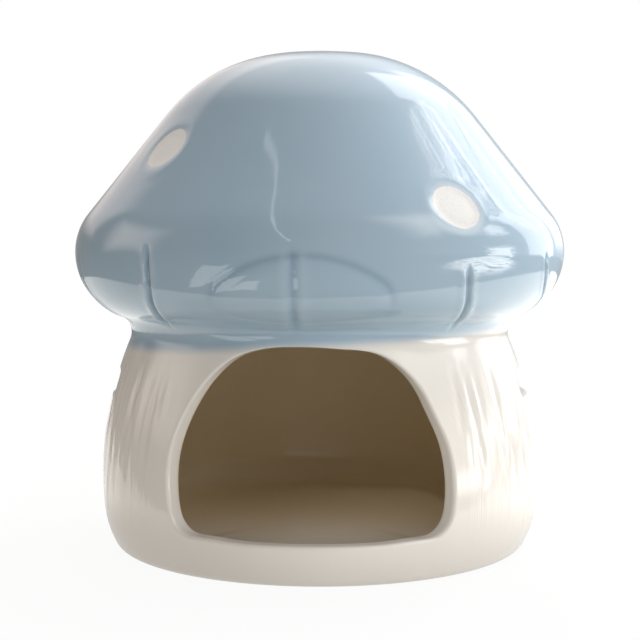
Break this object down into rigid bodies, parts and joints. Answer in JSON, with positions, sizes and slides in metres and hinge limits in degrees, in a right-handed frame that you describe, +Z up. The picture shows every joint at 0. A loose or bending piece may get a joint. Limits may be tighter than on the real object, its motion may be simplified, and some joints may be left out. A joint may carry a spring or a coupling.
{
  "type": "hamster hideout",
  "caption": "Hollow one-piece ceramic hamster house shaped like a mushroom, with an arched front door, slot windows in the sides, a wide domed cap with bare spots and a barked stem.",
  "frame": {"origin": "centre of the base, on the surface that the foot ring stands on", "axes": "+Z up, the door faces -Y, the side windows face +X and -X"},
  "size_m": [0.125, 0.1256, 0.1252],
  "materials": {
    "glaze": "glossy clear glaze, greyish light blue on the cap and warm white on the stem and inside"
  },
  "bodies": {
    "root": {"hideout": "glaze"}
  },
  "joints": []
}
